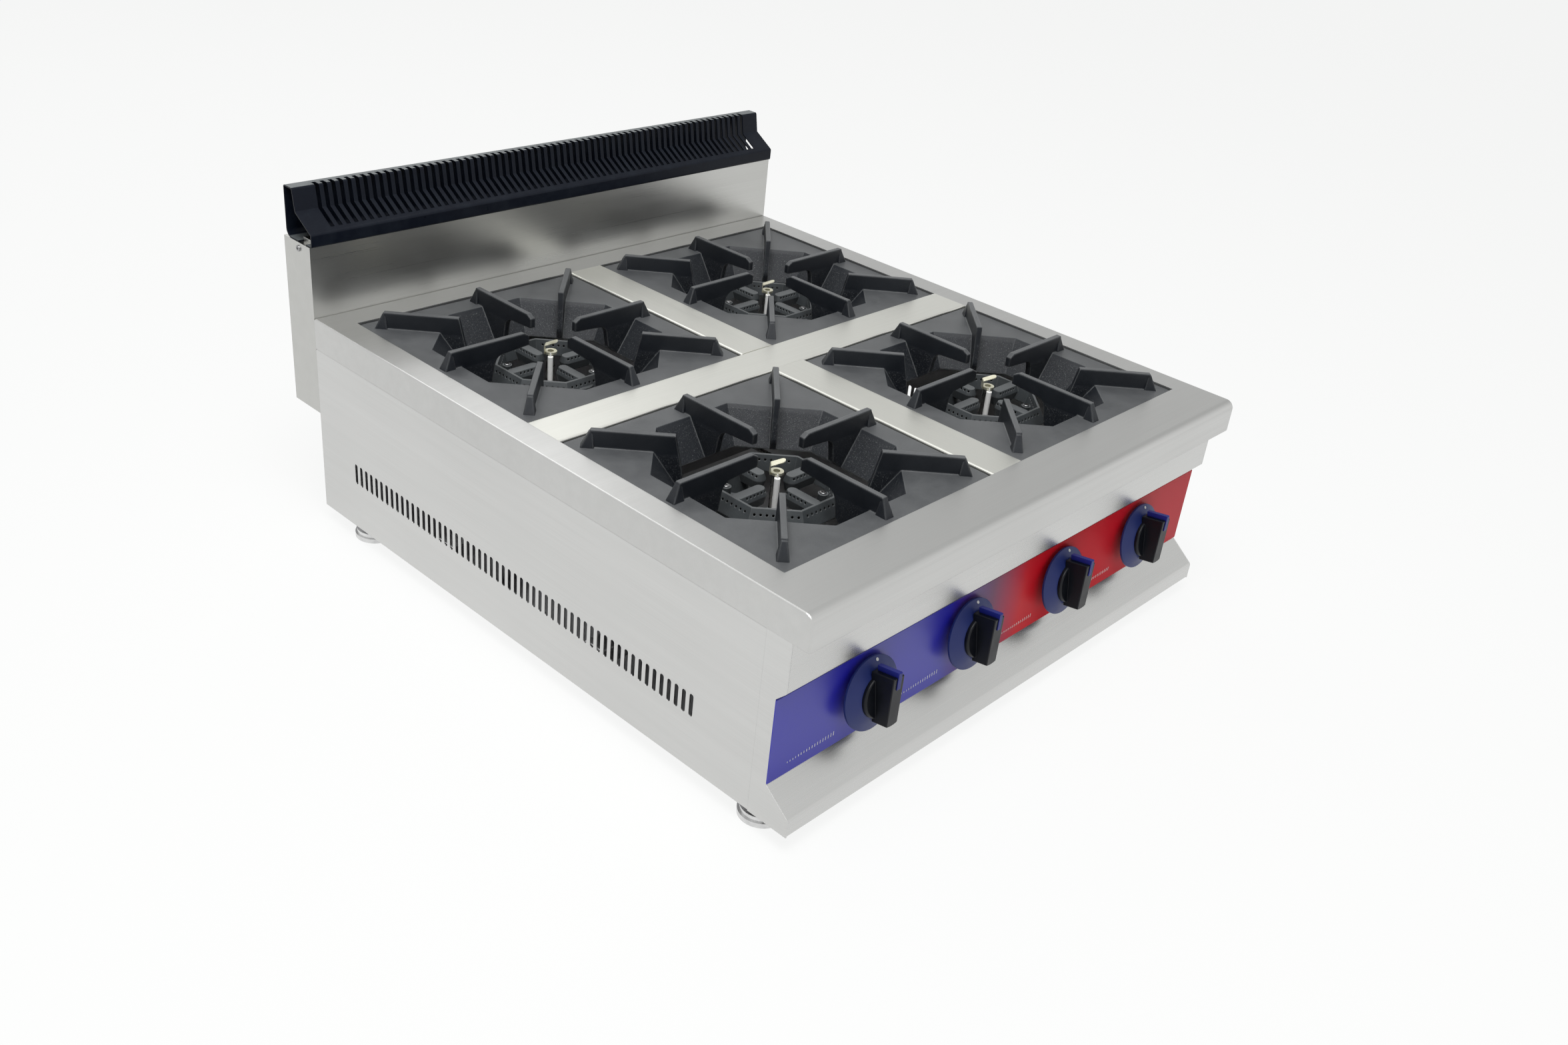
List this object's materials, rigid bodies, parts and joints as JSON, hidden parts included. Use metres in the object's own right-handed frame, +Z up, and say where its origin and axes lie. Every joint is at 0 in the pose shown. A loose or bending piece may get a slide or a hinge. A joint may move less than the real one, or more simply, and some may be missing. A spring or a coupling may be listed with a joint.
{
  "type": "countertop gas range",
  "caption": "Countertop gas range with lift-off cast grates over octagonal burners, push-and-turn control knobs, a slotted rear flue and levelling feet.",
  "frame": {"origin": "on the surface that the feet stand on, below the centre of the overall box", "axes": "+X from the front viewer's left to right, +Y from the knobs to the flue, +Z up"},
  "size_m": [0.8036, 0.9132, 0.442],
  "materials": {
    "stainless_steel": "brushed",
    "plated_sheet": "dull zinc plate",
    "printed_panel": "gloss print fading from blue at the left to red at the right",
    "black_enamel": "gloss enamel",
    "plated_fastener": "plated",
    "grate_iron": "as cast, dark enamelled",
    "burner_iron": "as cast",
    "brass_fitting": "machined",
    "steel_stem": "machined",
    "plated_disc": "zinc plate",
    "gas_pipe": "dark steel pipe",
    "pilot_tube": "drawn tube",
    "ceramic": "glazed",
    "blue_plastic": "moulded",
    "black_plastic": "moulded"
  },
  "bodies": {
    "body": {"side_panel_left": "stainless_steel", "side_panel_right": "stainless_steel", "front_frame": "stainless_steel", "front_cheek_left": "stainless_steel", "front_cheek_right": "stainless_steel", "hob_frame": "stainless_steel", "row_strip": "stainless_steel", "column_strip_front": "stainless_steel", "column_strip_rear": "stainless_steel", "flue_box": "stainless_steel", "base_pan": "plated_sheet", "back_panel": "plated_sheet", "burner_rails": "plated_sheet", "manifold_brackets": "plated_sheet", "pilot_brackets": "plated_sheet", "control_panel": "printed_panel", "flue_cap": "black_enamel", "screws": "plated_fastener", "foot_nuts": "plated_fastener", "levelling_feet": "plated_fastener", "burner_head_front_left": "burner_iron", "burner_head_front_right": "burner_iron", "burner_head_rear_left": "burner_iron", "burner_head_rear_right": "burner_iron", "burner_mixer_front_left": "burner_iron", "burner_mixer_front_right": "burner_iron", "burner_mixer_rear_left": "burner_iron", "burner_mixer_rear_right": "burner_iron", "injectors": "brass_fitting", "tap_bodies": "brass_fitting", "pilot_hoods": "brass_fitting", "air_shutters": "plated_disc", "manifold_pipe": "gas_pipe", "gas_supply_pipe": "gas_pipe", "pilot_tubes": "pilot_tube", "igniter_electrodes": "ceramic"},
    "plug_front_left": {"tap_plug_front_left": "brass_fitting"},
    "knob_front_left": {"tap_stem_front_left": "steel_stem", "knob_skirt_front_left": "blue_plastic", "knob_grip_front_left": "black_plastic", "knob_pointer_front_left": "blue_plastic"},
    "grate_front_left": {"grate_front_left": "grate_iron"},
    "plug_front_right": {"tap_plug_front_right": "brass_fitting"},
    "knob_front_right": {"tap_stem_front_right": "steel_stem", "knob_skirt_front_right": "blue_plastic", "knob_grip_front_right": "black_plastic", "knob_pointer_front_right": "blue_plastic"},
    "grate_front_right": {"grate_front_right": "grate_iron"},
    "plug_rear_left": {"tap_plug_rear_left": "brass_fitting"},
    "knob_rear_left": {"tap_stem_rear_left": "steel_stem", "knob_skirt_rear_left": "blue_plastic", "knob_grip_rear_left": "black_plastic", "knob_pointer_rear_left": "blue_plastic"},
    "grate_rear_left": {"grate_rear_left": "grate_iron"},
    "plug_rear_right": {"tap_plug_rear_right": "brass_fitting"},
    "knob_rear_right": {"tap_stem_rear_right": "steel_stem", "knob_skirt_rear_right": "blue_plastic", "knob_grip_rear_right": "black_plastic", "knob_pointer_rear_right": "blue_plastic"},
    "grate_rear_right": {"grate_rear_right": "grate_iron"}
  },
  "joints": [
    {"name": "turn_front_left", "type": "hinge", "parent": "body", "child": "plug_front_left", "pos_m": [-0.264, -0.4121, 0.1249], "axis": [0, -0.9863, 0.165], "range_deg": [0, 180]},
    {"name": "push_front_left", "type": "slide", "parent": "plug_front_left", "child": "knob_front_left", "axis": [0, 0.9863, -0.165], "range_m": [0, 0.003], "stiffness_N_per_m": 2000, "springref_m": -0.001},
    {"name": "lift_front_left", "type": "slide", "parent": "body", "child": "grate_front_left", "axis": [0, 0, 1], "range_m": [0, 0.12]},
    {"name": "turn_front_right", "type": "hinge", "parent": "body", "child": "plug_front_right", "pos_m": [0.264, -0.4121, 0.1249], "axis": [0, -0.9863, 0.165], "range_deg": [0, 180]},
    {"name": "push_front_right", "type": "slide", "parent": "plug_front_right", "child": "knob_front_right", "axis": [0, 0.9863, -0.165], "range_m": [0, 0.003], "stiffness_N_per_m": 2000, "springref_m": -0.001},
    {"name": "lift_front_right", "type": "slide", "parent": "body", "child": "grate_front_right", "axis": [0, 0, 1], "range_m": [0, 0.12]},
    {"name": "turn_rear_left", "type": "hinge", "parent": "body", "child": "plug_rear_left", "pos_m": [-0.091, -0.4121, 0.1249], "axis": [0, -0.9863, 0.165], "range_deg": [0, 180]},
    {"name": "push_rear_left", "type": "slide", "parent": "plug_rear_left", "child": "knob_rear_left", "axis": [0, 0.9863, -0.165], "range_m": [0, 0.003], "stiffness_N_per_m": 2000, "springref_m": -0.001},
    {"name": "lift_rear_left", "type": "slide", "parent": "body", "child": "grate_rear_left", "axis": [0, 0, 1], "range_m": [0, 0.12]},
    {"name": "turn_rear_right", "type": "hinge", "parent": "body", "child": "plug_rear_right", "pos_m": [0.091, -0.4121, 0.1249], "axis": [0, -0.9863, 0.165], "range_deg": [0, 180]},
    {"name": "push_rear_right", "type": "slide", "parent": "plug_rear_right", "child": "knob_rear_right", "axis": [0, 0.9863, -0.165], "range_m": [0, 0.003], "stiffness_N_per_m": 2000, "springref_m": -0.001},
    {"name": "lift_rear_right", "type": "slide", "parent": "body", "child": "grate_rear_right", "axis": [0, 0, 1], "range_m": [0, 0.12]}
  ]
}
